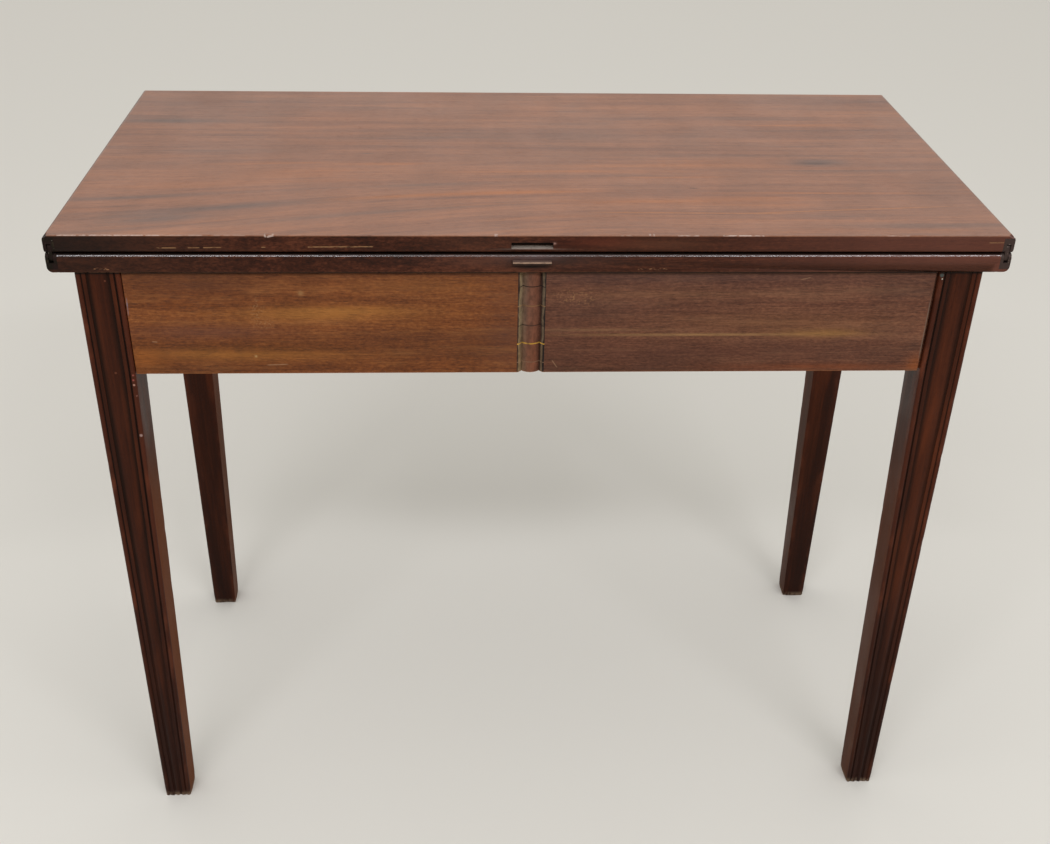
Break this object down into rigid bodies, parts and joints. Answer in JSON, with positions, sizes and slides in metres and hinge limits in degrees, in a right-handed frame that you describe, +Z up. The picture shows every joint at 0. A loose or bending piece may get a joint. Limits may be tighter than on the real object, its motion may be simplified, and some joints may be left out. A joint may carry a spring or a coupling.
{
  "type": "fold-over tea table",
  "caption": "Fold-over mahogany tea table: a hinged flap on a fixed leaf, a railed frame on square tapered moulded legs, and a swinging gate leg that holds up the open flap.",
  "frame": {"origin": "on the floor, under the centre of the folded table", "axes": "+X along the length of the top, to the right when facing the hinged rear edge; -Y towards the gate and the hinged edge; +Z up"},
  "size_m": [0.914, 0.4564, 0.735],
  "materials": {
    "mahogany_top": "aged polish, satin sheen, worn edges",
    "mahogany_leg": "dark aged polish, small knocks on the edges",
    "mahogany_rail": "aged polish, streaked grain, fine scratches",
    "secondary_timber": "unpolished oxidised oak",
    "old_brass": "tarnished, worn",
    "old_iron": "dark, dull"
  },
  "bodies": {
    "frame": {"front_left_leg": "mahogany_leg", "front_right_leg": "mahogany_leg", "rear_left_leg": "mahogany_leg", "front_rail": "mahogany_rail", "left_end_rail": "mahogany_rail", "right_end_rail": "mahogany_rail", "inner_rear_rail": "secondary_timber", "fixed_rear_rail": "mahogany_rail", "rear_rail_screws": "old_iron", "knuckle_pin": "old_iron", "top_screws": "old_iron", "glue_blocks": "secondary_timber", "fixed_leaf": "mahogany_top", "leaf_tongue": "mahogany_top", "left_hinge_lower_plate": "old_brass", "right_hinge_lower_plate": "old_brass", "lower_hinge_pins": "old_iron", "lower_plate_screws": "old_brass"},
    "gate": {"swing_rail": "mahogany_rail", "swing_leg": "mahogany_leg"},
    "hinge_links": {"left_hinge_link": "old_brass", "right_hinge_link": "old_brass"},
    "flap": {"flap_leaf": "mahogany_top", "left_hinge_upper_plate": "old_brass", "right_hinge_upper_plate": "old_brass", "upper_hinge_pins": "old_iron", "upper_plate_screws": "old_brass"}
  },
  "joints": [
    {"name": "gate_swing", "type": "hinge", "parent": "frame", "child": "gate", "pos_m": [-0.0036, -0.2043, 0.64165], "axis": [0, 0, -1], "range_deg": [0, 90]},
    {"name": "link_fold", "type": "hinge", "parent": "frame", "child": "hinge_links", "pos_m": [0, -0.2168, 0.711], "axis": [1, 0, 0], "range_deg": [0, 90]},
    {"name": "flap_fold", "type": "hinge", "parent": "hinge_links", "child": "flap", "pos_m": [0, -0.2168, 0.7214], "axis": [1, 0, 0], "range_deg": [0, 90]}
  ],
  "couplings": [
    {"joint": "link_fold", "follows": "flap_fold", "ratio": 1}
  ]
}
